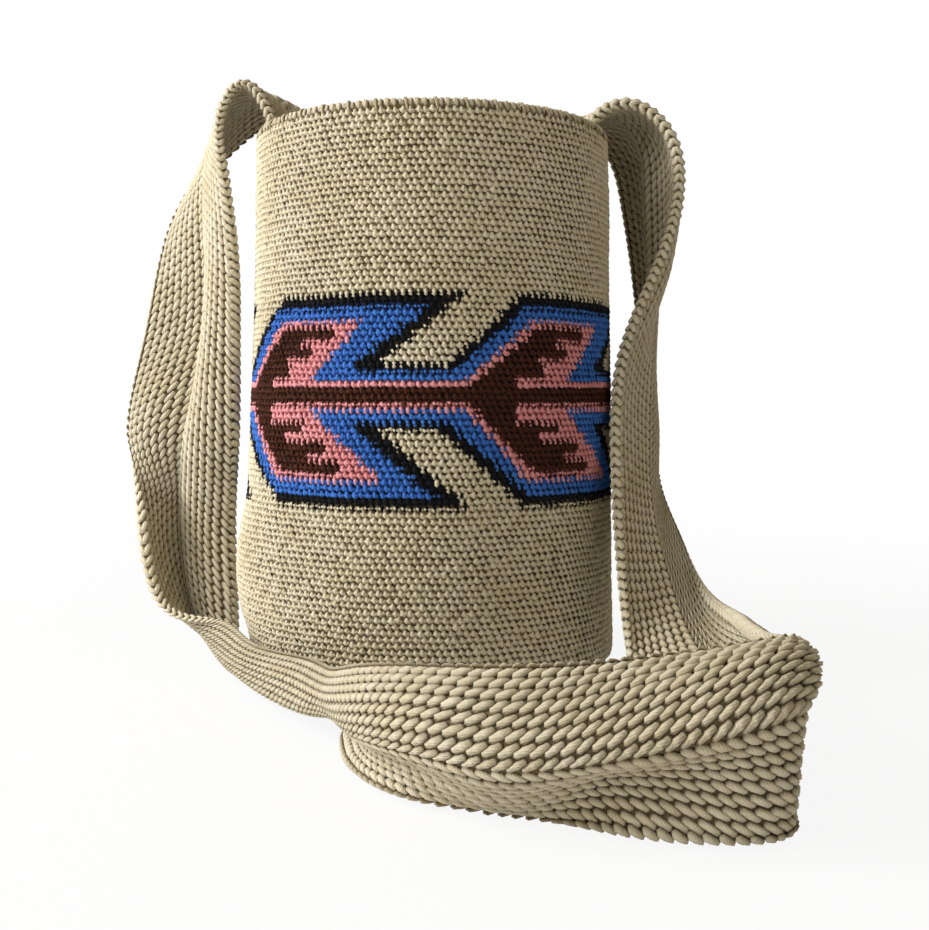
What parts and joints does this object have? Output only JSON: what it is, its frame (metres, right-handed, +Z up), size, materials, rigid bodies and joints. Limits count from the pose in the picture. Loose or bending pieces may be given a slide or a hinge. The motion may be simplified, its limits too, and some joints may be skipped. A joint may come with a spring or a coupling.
{
  "type": "mochila bag",
  "caption": "Round crocheted shoulder bag with an open mouth, a band of coloured arrows and a wide woven strap lying in a loop at the front.",
  "frame": {"origin": "middle of the round base, on the surface that the bag stands on", "axes": "+Z up out of the mouth, -Y to the front where the strap lies, +X to the right seen from the front"},
  "size_m": [0.2892, 0.3207, 0.2912],
  "materials": {
    "cream_yarn": "matt crocheted cotton",
    "edging_yarn": "matt cotton rope edging",
    "strap_yarn": "matt plaited cotton",
    "sewing_yarn": "matt cotton yarn",
    "blue_yarn": "matt crocheted cotton",
    "pink_yarn": "matt crocheted cotton",
    "brown_yarn": "matt crocheted cotton",
    "black_yarn": "matt crocheted cotton"
  },
  "bodies": {
    "root": {"bag_body": "cream_yarn", "rim_edging": "edging_yarn", "strap": "strap_yarn", "left_seam": "sewing_yarn", "right_seam": "sewing_yarn", "blue_upper": "blue_yarn", "blue_lower": "blue_yarn", "pink_upper": "pink_yarn", "pink_lower": "pink_yarn", "brown_stem": "brown_yarn", "black_upper": "black_yarn", "black_lower": "black_yarn"}
  },
  "joints": []
}
